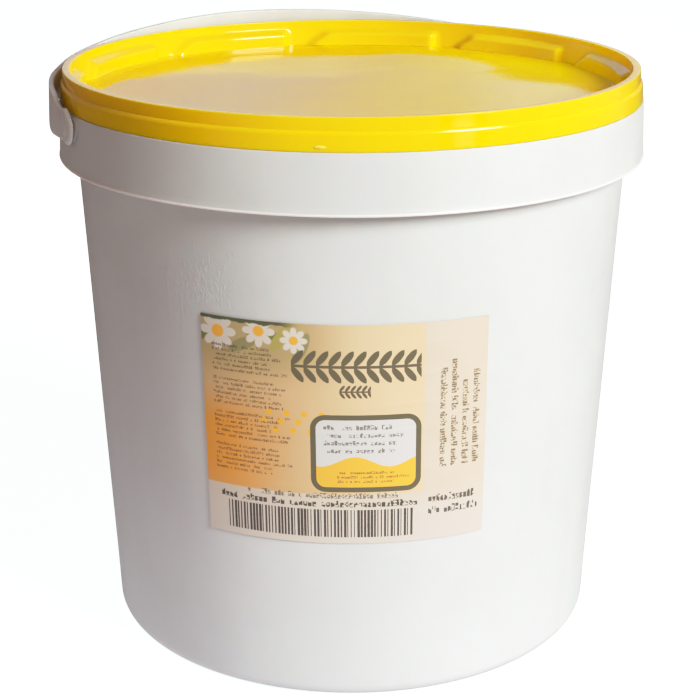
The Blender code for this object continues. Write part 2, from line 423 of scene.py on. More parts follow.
def make_lid(material):
    """The snap lid: stepped skirt, thin crest, recess wall with pads and a wavy panel."""
    step = CREST - SKIRT_STEP_DROP
    panel = CREST - RECESS_DEPTH
    pad_top = CREST - PAD_DROP
    foot = LID_EDGE / 2
    wall_start = WALL_TOP_RADIUS - LID_EDGE
    rows = [(SKIRT_RADIUS * 0.5, SKIRT_FOOT)]
    rows += arc(SKIRT_RADIUS - foot, SKIRT_FOOT + foot, foot, -90.0, 0.0, 4)
    skirt_end = (SKIRT_TOP_RADIUS, step - STEP_ROUND)
    rows += slope((SKIRT_RADIUS, SKIRT_FOOT + LID_EDGE), skirt_end, 6, range(1, 6))
    rows += arc(SKIRT_TOP_RADIUS - STEP_ROUND, step - STEP_ROUND, STEP_ROUND, 0.0, STEP_DEG, 12)
    rows += arc(RIM_RADIUS - RIM_ROUND, CREST - RIM_ROUND, RIM_ROUND, 0.0, 90.0, 7)
    rows += arc(wall_start + CREST_ROUND, CREST - CREST_ROUND, CREST_ROUND, 90.0, 180.0, 4)
    inner = WALL_FOOT_RADIUS
    wall_top = (wall_start, CREST - 2 * LID_EDGE)
    rows += slope(wall_top, (inner, panel), RECESS_ROWS, range(RECESS_ROWS + 1))
    rows += [(inner * (1 - index / PANEL_RINGS), panel) for index in range(1, PANEL_RINGS)]

    def place(radius, height, azimuth):
        """Point of a row, with the pads on the recess wall and the panel's waves."""
        angle = math.radians(azimuth)
        inside = radius < wall_start + LID_EDGE and height < CREST - LID_EDGE
        if inside and height >= panel:
            slant = smooth(height, pad_top, panel)
            left = PAD_LEFT_TOP_DEG + (PAD_LEFT_FOOT_DEG - PAD_LEFT_TOP_DEG) * slant
            shelf = smooth(height, pad_top + PAD_LEDGE / 2, pad_top - PAD_LEDGE / 2)
            reach = PAD_REACH * shelf * pad_share(azimuth, left)
            radius -= reach * smooth(radius, 0.0, inner)
        x = radius * math.sin(angle)
        y = radius * math.cos(angle)
        if inside and height <= panel:
            height += panel_wave(x, y) * smooth(radius, inner - PAD_REACH, inner - PANEL_EDGE)
        return (x, y, height)

    lid = turned("lid_shell", rows, LID_SEGMENTS, place)
    dress(lid, material, "pail", "lid", "lid")


def strap_section(low, high, rounding, thickness, inset):
    """Corners of the strap's section with rounded edges: outwards, and across the strap."""
    out = thickness / 2
    corners = []
    for quarter in range(4):
        centre_out = (out - rounding) * (1 if quarter in (0, 3) else -1)
        centre_across = high - rounding if quarter < 2 else rounding - low
        for step in range(4):
            angle = math.radians(90.0 * quarter + 30.0 * step)
            outwards = centre_out + rounding * math.cos(angle) - inset
            corners.append((outwards, centre_across + rounding * math.sin(angle)))
    return corners


def strap_shape(reach):
    """Half-widths below and above the middle line, edge rounding, thickness and inset.

    The strap is widest where it leaves a lug, hangs lower past the neck and then narrows.
    """
    share = smooth(reach, NECK_LENGTH, 0.0)
    at_lug = smooth(reach, *LUG_BLEND)
    half = (STRAP_WIDTH + (NECK_WIDTH - STRAP_WIDTH) * share) / 2
    hang = STRAP_HANG * smooth(reach, *HANG_START) * smooth(reach, *HANG_END)
    rounding = STRAP_ROUND + (NECK_ROUND - STRAP_ROUND) * share
    thickness = STRAP_THICKNESS + (NECK_THICKNESS - STRAP_THICKNESS) * at_lug
    rise = STRAP_RISE * smooth(reach, *RISE_START) * smooth(reach, *RISE_END)
    rise -= NECK_DROP * smooth(reach, *DROP_END)
    return half + hang, half + rise, rounding, thickness, LUG_INSET * at_lug


def lug_place(radius, height, azimuth):
    """Point of a lug or its stud. The lug is a little flattened above its stud."""
    angle = math.radians(azimuth)
    flat = LUG_FLAT * smooth(radius, STUD_CAP_RADIUS, LUG_RADIUS)
    radius -= flat * smooth(math.cos(angle), 0.0, 0.8)
    return (radius * math.sin(angle), radius * math.cos(angle), height)


def make_bail(material):
    """The strap bail with a lug, a stud and a cap at each end, in its rest pose."""
    start = math.asin(STRAP_END_FROM_HINGE / BAIL_DEPTH)
    points = []
    for index in range(STRAP_STEPS + 1):
        angle = start + (math.pi - 2 * start) * index / STRAP_STEPS
        centre = Vector((BAIL_HALF_SPAN * math.cos(angle), BAIL_DEPTH * math.sin(angle), 0.0))
        outward = Vector((BAIL_DEPTH * math.cos(angle), BAIL_HALF_SPAN * math.sin(angle), 0.0))
        outward.normalize()
        turned_by = 180.0 - math.degrees(angle)
        centre.z -= STRAP_SAG * smooth(turned_by, *SAG_START_DEG) * smooth(turned_by, *SAG_END_DEG)
        for out, across in strap_section(*strap_shape(centre.y)):
            points.append(centre + outward * out + Vector((0.0, 0.0, across)))
    corners = len(points) // (STRAP_STEPS + 1)
    faces = grid_faces(STRAP_STEPS + 1, corners, True)
    faces.append(tuple(range(corners)))
    faces.append(tuple(range(STRAP_STEPS * corners, (STRAP_STEPS + 1) * corners)))
    bail = add_mesh("bail", points, faces)
    turn = math.atan2(PIVOT_AXIS.y, PIVOT_AXIS.x)
    tilt = Euler((math.radians(BAIL_TILT_DEG), 0.0, turn)).to_matrix().to_4x4()
    bail.data.transform(Matrix.Translation(PIVOT) @ tilt)
    inner = BAIL_HALF_SPAN - LUG_INSET - LUG_THICKNESS / 2
    outer = BAIL_HALF_SPAN - LUG_INSET + LUG_THICKNESS / 2
    edge = LUG_EDGE_ROUND
    stud_tip = COLLAR_FOOT_RADIUS - edge
    lug_rows = arc(LUG_RADIUS - edge, inner + edge, edge, -90.0, 0.0, 4)
    lug_rows += dome(LUG_RADIUS, inner + edge, LUG_BEVEL, outer - inner - edge)
    lug_rows += dome(STUD_CAP_RADIUS, outer, STUD_CAP_BEVEL, STUD_CAP_HEIGHT)
    rows = [(STUD_RADIUS * 0.6, stud_tip), (STUD_RADIUS, stud_tip), (STUD_RADIUS, inner)] + lug_rows
    for side, word in ((1, "right"), (-1, "left")):
        lug = turned(f"lug_{word}", rows, ROUND_SEGMENTS, lug_place)
        lug.data.transform(axial_frame(side))
        joined = bail.modifiers.new(word, "BOOLEAN")
        joined.operation = "UNION"
        joined.solver = "EXACT"
        joined.object = lug
    settle(bail)
    for word in ("right", "left"):
        bpy.data.objects.remove(bpy.data.objects[f"lug_{word}"], do_unlink=True)
    bail.data.shade_smooth()
    bail.data.set_sharp_from_angle(angle=math.radians(SHARP_DEG))
    dress(bail, material, "bail", "handle", "handle")


def settle(thing):
    """Applies an object's modifiers to its mesh."""
    depsgraph = bpy.context.evaluated_depsgraph_get()
    mesh = bpy.data.meshes.new_from_object(thing.evaluated_get(depsgraph))
    thing.modifiers.clear()
    thing.data = mesh


def label_crease(share, height):
    """Low folds in the label, in metres outwards: long shallow ridges across its print."""
    lift = 0.0
    for centre, drop, start, end, size in (
        (0.905, 0.018, 0.55, 0.98, 0.00010),
        (0.770, -0.012, 0.50, 0.97, 0.00014),
        (0.640, 0.010, 0.42, 0.99, 0.00012),
        (0.520, -0.008, 0.30, 0.90, 0.00010),
        (0.330, 0.012, 0.35, 0.95, 0.00008),
        (0.260, 0.000, 0.02, 0.50, 0.00008),
    ):
        line = centre + drop * math.sin(9.0 * share + 20.0 * centre)
        reach = smooth(share, start, start + 0.15) * smooth(share, end, end - 0.15)
        lift += size * reach * math.exp(-(((height - line) / 0.012) ** 2))
    return lift


def make_label(material):
    """The printed sheet, wrapped on the wall, with low folds and its print laid out flat."""
    points = []
    flat = []
    for layer in range(2):
        for row in range(LABEL_ROWS + 1):
            up = row / LABEL_ROWS
            height = LABEL_BOTTOM + (LABEL_TOP - LABEL_BOTTOM) * up
            left = LABEL_LEFT_DEG + (LABEL_LEFT_TOP_DEG - LABEL_LEFT_DEG) * up
            right = LABEL_RIGHT_DEG + (LABEL_RIGHT_TOP_DEG - LABEL_RIGHT_DEG) * up
            for column in range(LABEL_COLUMNS + 1):
                share = column / LABEL_COLUMNS
                azimuth = left + (right - left) * share
                angle = math.radians(azimuth)
                reach = wall_radius(azimuth, height) + LABEL_LIFT
                if layer:
                    reach += LABEL_THICKNESS + label_crease(share, up)
                points.append((reach * math.sin(angle), -reach * math.cos(angle), height))
                flat.append((share, up))
    columns = LABEL_COLUMNS + 1
    rows = LABEL_ROWS + 1
    count = columns * rows
    faces = grid_faces(rows, columns, False) + grid_faces(rows, columns, False, count)
    top = LABEL_ROWS * columns
    for column in range(LABEL_COLUMNS):
        faces.append((column, column + 1, count + column + 1, count + column))
        faces.append((top + column, top + column + 1, count + top + column + 1, count + top + column))
    for row in range(LABEL_ROWS):
        for side in (0, LABEL_COLUMNS):
            low = row * columns + side
            faces.append((low, low + columns, count + low + columns, count + low))
    label = add_mesh("label_sheet", points, faces)
    print_map = label.data.uv_layers.new(name="print")
    for loop in label.data.loops:
        print_map.data[loop.index].uv = flat[loop.vertex_index]
    dress(label, material, "pail", "label", "label")


def add_lens(points, faces, radius_at, centre, size, lean, rise):
    """Adds a low lens-shaped swelling on a wall. centre is an azimuth from the front and a height."""
    around = 10
    first = len(points)
    for share, lift in ((1.0, -0.3), (0.8, 0.45), (0.4, 0.9), (0.0, 1.0)):
        for corner in range(around if share else 1):
            angle = 2 * math.pi * corner / around
            across = size[0] * share * math.cos(angle)
            along = size[1] * share * math.sin(angle)
            sideways = across * math.cos(lean) - along * math.sin(lean)
            level = centre[1] + across * math.sin(lean) + along * math.cos(lean)
            radius = radius_at(centre[0], level)
            turn = math.radians(centre[0]) + sideways / radius
            reach = radius + rise * lift
            points.append((reach * math.sin(turn), -reach * math.cos(turn), level))
    faces += grid_faces(3, around, True, first)
    low = first + 2 * around
    for corner in range(around):
        faces.append((low + corner, low + (corner + 1) % around, first + 3 * around))
    faces.append(tuple(range(first, first + around)))


def make_drops(material):
    """Dried drips: low, long lens-shaped marks on the wall, at the label's upper left corner."""
    draw = random.Random(7)
    marks = []
    for index in range(300):
        if draw.random() < 0.66:
            azimuth = draw.gauss(-30.4, 3.3)
            height = draw.gauss(0.2115, 0.0075)
        else:
            azimuth = draw.uniform(-46.0, -22.0)
            height = draw.gauss(0.210, 0.018)
        size = (draw.uniform(0.0004, 0.0008), draw.uniform(0.0006, 0.0022))
        lean = math.radians(draw.gauss(6.0, 14.0))
        beside_label = azimuth < LABEL_LEFT_DEG - 1.5 or height > LABEL_TOP + 0.003
        if -58.0 < azimuth < -17.0 and 0.13 < height < 0.246 and beside_label:
            marks.append((azimuth, height, size, lean))
    for azimuth, height, long in (
        (-38.5, 0.206, 0.017),
        (-53.0, 0.207, 0.010),
        (-35.2, 0.200, 0.011),
        (-28.0, 0.228, 0.0045),
        (-31.4, 0.231, 0.0035),
    ):
        marks.append((azimuth, height, (0.0007, long), 0.0))
    points = []
    faces = []
    for azimuth, height, size, lean in marks:
        add_lens(points, faces, wall_radius, (azimuth, height), size, lean, DRIP_RISE * size[0])
    drops = add_mesh("dried_drips", points, faces, 60.0)
    dress(drops, material, "pail", "pail")


def make_nub(material):
    """The small moulded nub at the foot of the lid's skirt."""
    points = []
    faces = []
    centre = (NUB_DEG, SKIRT_FOOT + NUB_LIFT)
    add_lens(points, faces, lambda turn, level: SKIRT_RADIUS - NUB_SINK, centre, NUB_SIZE, 0.0, NUB_RISE)
    nub = add_mesh("skirt_nub", points, faces, 60.0)
    dress(nub, material, "pail", "lid")


class Nodes:
    """Short names for building a material out of shader nodes."""

    def __init__(self, name):
        self.material = bpy.data.materials.new(name)
        self.material.use_nodes = True
        self.tree = self.material.node_tree
        self.shader = self.tree.nodes["Principled BSDF"]

    def add(self, kind, inputs=(), output=0, **settings):
        """Output of a node with these settings and inputs: numbers, colours or sockets."""
        node = self.tree.nodes.new(kind)
        for name, value in settings.items():
            setattr(node, name, value)
        for key, value in dict(inputs).items():
            self.feed(node.inputs[key], value)
        return node.outputs[output]

    def feed(self, socket, value):
        """Links a socket to this one, or sets its number or colour."""
        if isinstance(value, bpy.types.NodeSocket):
            self.tree.links.new(value, socket)
        else:
            socket.default_value = value

    def math(self, operation, first, second=0.0, third=0.0):
        """One step of arithmetic."""
        return self.add("ShaderNodeMath", {0: first, 1: second, 2: third}, operation=operation)

    def product(self, *values):
        """All the values multiplied together."""
        result = values[0]
        for value in values[1:]:
            result = self.math("MULTIPLY", result, value)
        return result

    def scaled(self, value, factor, extra):
        """The value times a factor, plus an extra."""
        return self.math("MULTIPLY_ADD", value, factor, extra)

    def over(self, value, low):
        """1 where the value is more than low, and 0 elsewhere."""
        return self.math("GREATER_THAN", value, low)

    def under(self, value, high):
        """1 where the value is less than high, and 0 elsewhere."""
        return self.math("LESS_THAN", value, high)

    def between(self, value, low, high):
        """1 where the value lies between low and high, and 0 elsewhere."""
        return self.product(self.over(value, low), self.under(value, high))

    def ease(self, value, low, high, start=0.0, end=1.0):
        """Eases from start at low to end at high."""
        inputs = {0: value, 1: low, 2: high, 3: start, 4: end}
        return self.add("ShaderNodeMapRange", inputs, interpolation_type="SMOOTHSTEP")

    def mix(self, share, first, second):
        """A colour between the first and the second."""
        return self.add("ShaderNodeMix", {0: share, 6: first, 7: second}, 2, data_type="RGBA")

    def patchy(self, clouds, first, second):
        """Large soft patches of two colours."""
        return self.mix(self.ease(clouds, 0.35, 0.65), first, second)

    def minus(self, first, second):
        """The first value less the second."""
        return self.math("SUBTRACT", first, second)

    def pair(self, first, second):
        """A vector of two values."""
        return self.add("ShaderNodeCombineXYZ", {0: first, 1: second})

    def chance(self, vector):
        """A random number for each whole-number place."""
        return self.add("ShaderNodeTexWhiteNoise", {"Vector": vector}, noise_dimensions="2D")

    def cloud(self, vector, scale, detail=2.0, roughness=0.5):
        """Soft noise from 0 to 1."""
        inputs = {"Vector": vector, "Scale": scale, "Detail": detail, "Roughness": roughness}
        return self.add("ShaderNodeTexNoise", inputs)

    def uneven(self, vector, scale, low, high):
        """A value that drifts between low and high."""
        return self.ease(self.cloud(vector, scale), 0.3, 0.7, low, high)

    def bump(self, height, strength, distance, below=None):
        """A bumped normal, on top of another one where one is given."""
        inputs = {"Height": height, "Strength": strength, "Distance": distance}
        if below is not None:
            inputs["Normal"] = below
        return self.add("ShaderNodeBump", inputs)

    def split(self, vector):
        """The three parts of a vector."""
        return self.add("ShaderNodeSeparateXYZ", {0: vector}).node.outputs

    def diagonal(self, first, second):
        """Distance that goes with these two lengths at right angles."""
        return self.math("SQRT", self.math("ADD", self.product(first, first), self.product(second, second)))

    def surface(self, shade, roughness, normal=None, steady=()):
        """Gives the shader its colour, roughness and normal, and sets its steady values by name."""
        inputs = {"Base Color": shade, "Roughness": roughness, **dict(steady)}
        if normal is not None:
            inputs["Normal"] = normal
        for name, value in inputs.items():
            self.feed(self.shader.inputs[name], value)
        return self.material

    def glow(self, shade, strength):
        """Makes the material a plain glow of a colour and a strength."""
        self.tree.nodes.remove(self.shader)
        glow = self.add("ShaderNodeEmission", {"Color": shade, "Strength": strength})
        self.feed(self.tree.nodes["Material Output"].inputs["Surface"], glow)
        return self.material

    def object_place(self, scale=(1.0, 1.0, 1.0)):
        """The surface's own coordinates, in metres, stretched by a scale."""
        place = self.add("ShaderNodeTexCoord", output=3)
        return self.add("ShaderNodeMapping", {"Vector": place, "Scale": scale})


def colour(red, green, blue):
    """A linear colour."""
    return (red, green, blue, 1.0)


def pail_material():
    """Satin white polypropylene, faintly clouded, with a fine moulded texture and a painted highlight along
    the thin lip.
    """
    net = Nodes("pail_plastic")
    place = net.object_place()
    flow = net.object_place((1.0, 1.0, 0.22))
    clouds = net.cloud(place, 22.0, 3.0)
    streaks = net.cloud(flow, 90.0, 3.0)
    shade = net.patchy(clouds, colour(0.625, 0.648, 0.636), colour(0.650, 0.673, 0.661))
    shade = net.mix(net.ease(streaks, 0.35, 0.75, 0.0, 0.25), shade, colour(0.67, 0.692, 0.682))
    height = net.split(place)[2]
    # Painted highlight: the lip is paled to stand in for the light that catches it
    lip_foot, lip_end = (COLLAR_FOOT_HEIGHT + level for level in LIP_PAINTED_HIGHLIGHT)
    lip = net.product(net.ease(height, lip_end, lip_end - LIP_BEAD / 2), net.over(height, lip_foot))
    shade = net.mix(lip, shade, colour(0.80, 0.78, 0.77))
    peel = net.bump(net.cloud(place, 420.0), 0.25, 0.00008)
    soft = net.bump(net.cloud(flow, 45.0), 0.35, 0.0004, peel)
    steady = {
        "IOR": 1.47,
        "Subsurface Weight": 0.6,
        "Subsurface Radius": (1.0, 0.55, 0.40),
        "Subsurface Scale": 0.0022,
    }
    return net.surface(shade, net.uneven(place, 60.0, 0.36, 0.46), soft, steady)


def lid_material():
    """Glossy yellow polyethylene with faint smears, and painted shade and light in the thin panel: darker at
    its left, lighter at its right.
    """
    net = Nodes("lid_plastic")
    place = net.object_place()
    x, y, height = net.split(place)
    clouds = net.cloud(place, 16.0, 3.0)
    smears = net.cloud(net.object_place((1.0, 3.5, 1.0)), 34.0, 4.0, 0.6)
    shade = net.patchy(clouds, colour(0.875, 0.560, 0.0), colour(0.905, 0.590, 0.0))
    level = net.minus(height, CREST - RECESS_DEPTH)
    in_panel = net.product(
        net.ease(level, *PAINTED_SHADE_TOP), net.ease(level, *PAINTED_SHADE_FOOT), net.ease(net.diagonal(x, y), *PAINTED_SHADE_RADII)
    )
    # Painted shade and light on the panel: darker at the left, away from the key light, a little lighter at
    # the right
    thin = net.mix(net.ease(x, -0.06, 0.05), colour(0.83, 0.49, 0.0), colour(0.98, 0.61, 0.0))
    shade = net.mix(in_panel, shade, thin)
    fine = net.bump(net.cloud(place, 300.0), 0.12, 0.00005)
    steady = {
        "IOR": 1.50,
        "Specular Tint": colour(1.0, 0.90, 0.60),
        "Subsurface Weight": 0.5,
        "Subsurface Radius": (1.0, 0.75, 0.05),
        "Subsurface Scale": 0.004,
    }
    return net.surface(shade, net.ease(smears, 0.35, 0.75, 0.06, 0.14), fine, steady)


def nub_material():
    """The nub's paler yellow, which is a painted highlight."""
    net = Nodes("nub_plastic")
    nub_highlight_noise = net.cloud(net.object_place(), 700.0, 3.0)
    # Painted highlight: paler yellow patches on the nub
    shade = net.patchy(nub_highlight_noise, colour(0.93, 0.64, 0.04), colour(0.98, 0.72, 0.09))
    return net.surface(shade, net.ease(nub_highlight_noise, 0.3, 0.7, 0.16, 0.26))


def bail_material():
    """Milky white polypropylene that lets a little light through."""
    net = Nodes("bail_plastic")
    place = net.object_place()
    clouds = net.cloud(place, 40.0, 3.0)
    shade = net.patchy(clouds, colour(0.62, 0.635, 0.615), colour(0.66, 0.675, 0.655))
    fine = net.bump(net.cloud(place, 380.0), 0.2, 0.00006)
    steady = {
        "IOR": 1.47,
        "Specular IOR Level": 0.35,
        "Subsurface Weight": 1.0,
        "Subsurface Radius": (1.0, 0.75, 0.60),
        "Subsurface Scale": 0.003,
    }
    return net.surface(shade, net.uneven(place, 120.0, 0.42, 0.54), fine, steady)


def drip_material():
    """The pail's white under a dried film."""
    net = Nodes("drip_film")
    place = net.object_place()
    shade = net.mix(net.cloud(place, 200.0), colour(0.615, 0.635, 0.625), colour(0.655, 0.675, 0.665))
    return net.surface(shade, net.uneven(place, 300.0, 0.34, 0.44))


def small_print(net, along, down, start, top, width, rows, pitch, letter, seed, rows_in_block=0):
    """Rows of random strokes in the place of words, in mm. Returns where the strokes are.

    Every row runs from start for up to its width, and each block of rows ends in an
    empty one. The strokes stand in cells like letters, with gaps like those of words.
    """
    row_place = net.math("DIVIDE", net.minus(top, down), pitch)
    row = net.math("FLOOR", row_place)
    in_row = net.math("FRACT", row_place)
    reach = net.minus(along, start)
    cell_place = net.math("DIVIDE", reach, letter)
    cell = net.math("FLOOR", cell_place)
    chance = net.chance(net.pair(cell, net.math("ADD", row, seed)))
    tall = net.scaled(net.over(chance, 0.74), -0.18, 0.34)
    letters = net.between(in_row, tall, 0.78)
    word = net.over(chance, 0.15)
    apart = net.under(net.math("FRACT", cell_place), 0.82)
    fine_across = net.math("FLOOR", net.product(cell_place, 2.44))
    fine_down = net.math("FLOOR", net.product(row_place, 7.0))
    stroke = net.over(net.chance(net.pair(fine_across, fine_down)), 0.34)
    span = net.scaled(net.chance(net.pair(row, seed + 0.5)), 0.28 * width, 0.72 * width)
    in_line = net.between(reach, 0.0, span)
    inside = net.between(row_place, 0.0, rows)
    mask = net.product(letters, word, apart, stroke, in_line, inside)
    if rows_in_block:
        spare = net.under(net.math("MODULO", row, rows_in_block), rows_in_block - 1.5)
        mask = net.product(mask, spare)
    return mask


def oval(net, across, up, centre, size, turn_deg=0.0):
    """0 at the middle of an oval and 1 on its outline."""
    cosine = math.cos(math.radians(turn_deg))
    sine = math.sin(math.radians(turn_deg))
    side = net.minus(across, centre[0])
    rise = net.minus(up, centre[1])
    first = net.scaled(side, cosine / size[0], net.product(rise, sine / size[0]))
    second = net.scaled(rise, cosine / size[1], net.product(side, -sine / size[1]))
    return net.diagonal(first, second)


def rounded_box(net, across, up, left, right, low, high, corner):
    """How far outside a rectangle with round corners a place is, and less than 0 inside it."""
    out = []
    for place, first, last in ((across, left, right), (up, low, high)):
        from_middle = net.math("ABSOLUTE", net.minus(place, (first + last) / 2))
        beyond = net.minus(from_middle, (last - first) / 2 - corner)
        out.append(net.math("MAXIMUM", beyond, 0.0))
    return net.minus(net.diagonal(*out), corner)


def bar(net, across, up, left, right, low, high):
    """1 inside an upright rectangle."""
    return net.product(net.between(across, left, right), net.between(up, low, high))


def flower(net, base, across, up, centre, size):
    """Paints a plain eight-petalled flower with a golden middle."""
    side = net.minus(across, centre[0])
    rise = net.minus(up, centre[1])
    angle = net.math("ARCTAN2", rise, side)
    reach = net.diagonal(side, rise)
    notch = net.math("ABSOLUTE", net.math("COSINE", net.product(angle, 4.0)))
    edge = net.scaled(net.math("POWER", notch, 0.6), 0.5 * size, 0.5 * size)
    beyond = net.minus(reach, edge)
    base = net.mix(net.ease(beyond, 0.5, -0.5), base, colour(0.66, 0.62, 0.54))
    return net.mix(net.ease(reach, 0.36 * size, 0.30 * size), base, colour(0.85, 0.42, 0.05))


def garland(net, across, up, left, right, height, leaf_pitch, leaf_size, stem):
    """A straight stem with a pair of slanted leaves in every pitch. Returns where it is."""
    rise = net.minus(up, height)
    aside = net.math("ABSOLUTE", rise)
    place = net.math("DIVIDE", net.minus(across, left), leaf_pitch)
    local = net.product(net.minus(net.math("FRACT", place), 0.5), leaf_pitch)
    leaf = oval(net, local, aside, (0.0, leaf_size * 0.92), (leaf_size * 0.36, leaf_size), -38.0)
    shape = net.under(leaf, 1.0)
    line = net.under(aside, stem)
    return net.product(net.math("MAXIMUM", shape, line), net.between(across, left, right))


def print_fields(net, across, up, width, tall, clouds):
    """The label's fields of colour: a warm gradient at the left, cream, and a paler border."""
    main_right = 0.772 * width
    main_low = 0.232 * tall
    slant = net.scaled(up, 0.18, across)
    base = net.mix(
        net.ease(slant, 0.26 * width, 0.78 * width), colour(0.63, 0.42, 0.205), colour(0.695, 0.52, 0.33)
    )
    glow = net.ease(net.scaled(clouds, 16.0, across), 0.42 * width, 0.12 * width)
    glow = net.product(
        glow, net.ease(up, 0.72 * tall, 0.50 * tall), net.ease(up, 0.12 * tall, 0.36 * tall, 0.55)
    )
    base = net.mix(glow, base, colour(0.79, 0.325, 0.040))
    haze = net.product(
        net.ease(net.scaled(clouds, 12.0, up), 0.74 * tall, 0.92 * tall),
        net.ease(across, 0.56 * width, 0.30 * width),
    )
    base = net.mix(haze, base, colour(0.46, 0.35, 0.165))
    border = net.patchy(clouds, colour(0.625, 0.53, 0.40), colour(0.64, 0.55, 0.425))
    border = net.mix(net.ease(up, 0.30 * tall, 0.10 * tall), border, colour(0.625, 0.56, 0.485))
    in_main = net.product(net.under(across, main_right), net.over(up, main_low))
    return net.mix(in_main, border, base)


def print_pictures(net, base, across, up, width, tall):
    """The label's plain ornaments: flowers and leaves, a garland, dots and a framed panel."""
    olive = colour(0.135, 0.115, 0.068)
    for index in range(6):
        centre = ((0.02 + 0.068 * index) * width, (0.925 + 0.035 * math.sin(2.3 * index)) * tall)
        leaf = oval(net, across, up, centre, (3.0, 8.5), -55.0 + 40.0 * math.sin(1.7 * index))
        tint = (colour(0.20, 0.20, 0.05), colour(0.42, 0.36, 0.10), colour(0.30, 0.27, 0.12))[index % 3]
        base = net.mix(net.ease(leaf, 1.05, 0.85), base, tint)
    for place, level, size in ((0.065, 0.935, 9.5), (0.215, 0.955, 8.0), (0.335, 0.925, 6.5)):
        base = flower(net, base, across, up, (place * width, level * tall), size)
    from_top = net.minus(up, tall)
    ragged = net.scaled(net.cloud(net.pair(across, 3.0), 0.16, 2.0), 4.6, from_top)
    line = net.product(net.ease(ragged, 0.3, 0.9), net.ease(across, 0.36 * width, 0.28 * width))
    base = net.mix(line, base, colour(0.10, 0.11, 0.05))

    leaves = garland(net, across, up, 0.325 * width, 0.760 * width, 0.815 * tall, 5.8, 4.6, 0.7)
    base = net.mix(leaves, base, olive)
    sprig = garland(net, across, up, 0.485 * width, 0.590 * width, 0.705 * tall, 2.6, 1.9, 0.4)
    base = net.mix(sprig, base, olive)
    for index in range(11):
        centre = ((0.225 + 0.020 * index) * width, (0.560 + 0.045 * math.sin(2.1 * index)) * tall)
        dot = oval(net, across, up, centre, (1.5, 1.5))
        base = net.mix(net.under(dot, 1.0), base, colour(0.90, 0.42, 0.03))

    panel = rounded_box(net, across, up, 0.385 * width, 0.762 * width, 0.244 * tall, 0.600 * tall, 7.0)
    base = net.mix(net.under(panel, 0.0), base, olive)
    inner = net.under(panel, -2.6)
    base = net.mix(inner, base, colour(0.62, 0.61, 0.59))
    wave = net.math("SINE", net.product(across, 0.19))
    crest = net.scaled(wave, 2.6, 0.385 * tall)
    base = net.mix(net.product(inner, net.under(up, crest)), base, colour(0.86, 0.45, 0.045))
    return base


def print_words(net, base, across, up, width, tall):
    """Rows of strokes and a strip of random bars where the label has its small print."""
    brown = colour(0.11, 0.065, 0.035)
    black = colour(0.035, 0.028, 0.026)
    grey = colour(0.16, 0.14, 0.12)
    for start, top, reach, rows, pitch, letter, seed, rows_in_block, ink, share in (
        (0.040, 0.885, 0.285, 28, 2.43, 1.05, 3.0, 7, brown, 0.80),
        (0.430, 0.560, 0.290, 4, 4.0, 1.7, 11.0, 0, grey, 0.85),
        (0.475, 0.345, 0.250, 3, 2.3, 1.0, 17.0, 0, brown, 0.75),
        (0.145, 0.245, 0.550, 1, 4.6, 1.7, 23.0, 0, black, 0.70),
        (0.790, 0.222, 0.190, 2, 6.4, 2.0, 47.0, 0, black, 0.85),
    ):
        place = (start * width, top * tall, reach * width)
        words = small_print(net, across, up, *place, rows, pitch, letter, seed, rows_in_block)
        base = net.mix(net.product(words, share), base, ink)
    upright = small_print(net, up, across, 0.340 * tall, 0.980 * width, 0.500 * tall, 4, 5.6, 1.25, 41.0)
    base = net.mix(net.product(upright, 0.80), base, brown)
    digits = small_print(net, across, up, 0.055 * width, 0.212 * tall, 1.20 * width, 1, 5.6, 2.2, 31.0)
    digits = net.product(digits, net.under(across, 0.750 * width))
    base = net.mix(net.product(digits, 0.90), base, black)
    place = net.math("DIVIDE", across, 1.60)
    chance = net.chance(net.pair(net.math("FLOOR", place), 5.0))
    ink_width = net.scaled(chance, 0.52, 0.26)
    dark = net.under(net.math("FRACT", place), ink_width)
    strip = bar(net, across, up, 0.080 * width, 0.735 * width, 0.030 * tall, 0.160 * tall)
    return net.mix(net.product(strip, dark, 0.92), base, black)


def label_material():
    """Semi-gloss printed paper. The print is drawn in millimetres from the label's corner."""
    net = Nodes("label_print")
    width = math.radians(LABEL_RIGHT_DEG - LABEL_LEFT_DEG) * 1000.0 * body_radius(LABEL_BOTTOM)
    tall = (LABEL_TOP - LABEL_BOTTOM) * 1000.0
    flat = net.split(net.add("ShaderNodeUVMap", uv_map="print"))
    across = net.product(flat[0], width)
    up = net.product(flat[1], tall)
    clouds = net.cloud(net.pair(across, up), 0.06, 3.0)
    base = print_fields(net, across, up, width, tall, clouds)
    base = print_pictures(net, base, across, up, width, tall)
    base = print_words(net, base, across, up, width, tall)
    place = net.object_place()
    fibre = net.bump(net.cloud(place, 900.0, 3.0), 0.2, 0.00003)
    waves = net.bump(net.cloud(net.object_place((1.0, 1.0, 3.2)), 38.0), 0.5, 0.0002, fibre)
    return net.surface(base, net.uneven(place, 50.0, 0.34, 0.46), waves)


def floor_material():
    """Plain pale studio floor."""
    net = Nodes("pale_floor")
    place = net.object_place()
    shade = net.mix(net.cloud(place, 3.0), colour(0.80, 0.80, 0.80), colour(0.82, 0.82, 0.82))
    steady = {"Emission Color": colour(0.87, 1.0, 1.0), "Emission Strength": 1.30}
    return net.surface(shade, 0.8, steady=steady)


def back_card_material():
    """Glow of the card behind the pail: dimmer right of its middle."""
    net = Nodes("back_card_glow")
    across = net.split(net.object_place())[0]
    shade = net.mix(net.ease(across, -0.30, 0.12), colour(0.52, 0.67, 0.96), colour(0.62, 0.60, 0.61))
    shade = net.mix(net.ease(across, 0.20, 0.42), shade, colour(0.76, 0.75, 0.92))
    return net.glow(shade, 1.0)


